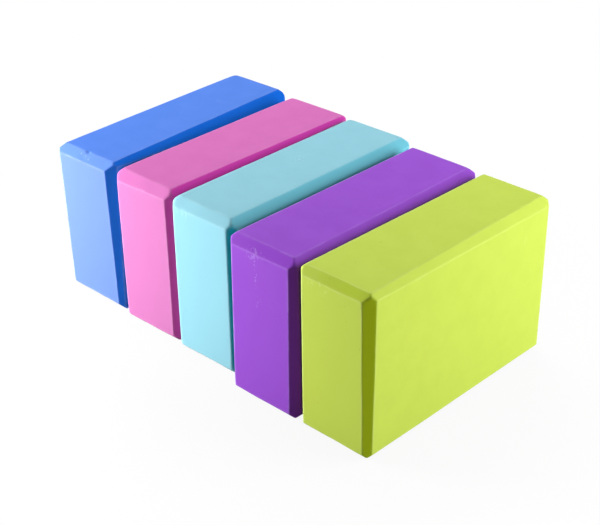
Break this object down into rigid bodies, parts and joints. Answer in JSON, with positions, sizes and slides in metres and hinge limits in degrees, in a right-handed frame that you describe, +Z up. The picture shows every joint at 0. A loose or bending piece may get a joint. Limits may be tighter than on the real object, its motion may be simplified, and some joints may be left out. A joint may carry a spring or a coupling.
{
  "type": "yoga block set",
  "caption": "Bevelled closed-cell foam yoga blocks standing in a row on their long edges, each a loose, firm support for hands, feet or hips that lifts out of the row.",
  "frame": {"origin": "middle of the row's bounding box, on the surface that the blocks stand on", "axes": "+X along the row from the blue to the lime block, +Y along the length of a block away from the viewer, +Z up"},
  "size_m": [0.3956, 0.2452, 0.15],
  "materials": {
    "blue_foam": "matte closed-cell foam, fine grain",
    "pink_foam": "matte closed-cell foam, fine grain",
    "aqua_foam": "matte closed-cell foam, fine grain",
    "purple_foam": "matte closed-cell foam, fine grain",
    "lime_foam": "matte closed-cell foam, fine grain"
  },
  "bodies": {
    "blue_block": {"blue_block": "blue_foam"},
    "pink_block": {"pink_block": "pink_foam"},
    "aqua_block": {"aqua_block": "aqua_foam"},
    "purple_block": {"purple_block": "purple_foam"},
    "lime_block": {"lime_block": "lime_foam"}
  },
  "joints": [
    {"name": "blue_block_lift", "type": "slide", "parent": "aqua_block", "child": "blue_block", "axis": [0, 0, 1], "range_m": [0, 0.18]},
    {"name": "pink_block_lift", "type": "slide", "parent": "aqua_block", "child": "pink_block", "axis": [0, 0, 1], "range_m": [0, 0.18]},
    {"name": "purple_block_lift", "type": "slide", "parent": "aqua_block", "child": "purple_block", "axis": [0, 0, 1], "range_m": [0, 0.18]},
    {"name": "lime_block_lift", "type": "slide", "parent": "aqua_block", "child": "lime_block", "axis": [0, 0, 1], "range_m": [0, 0.18]}
  ]
}
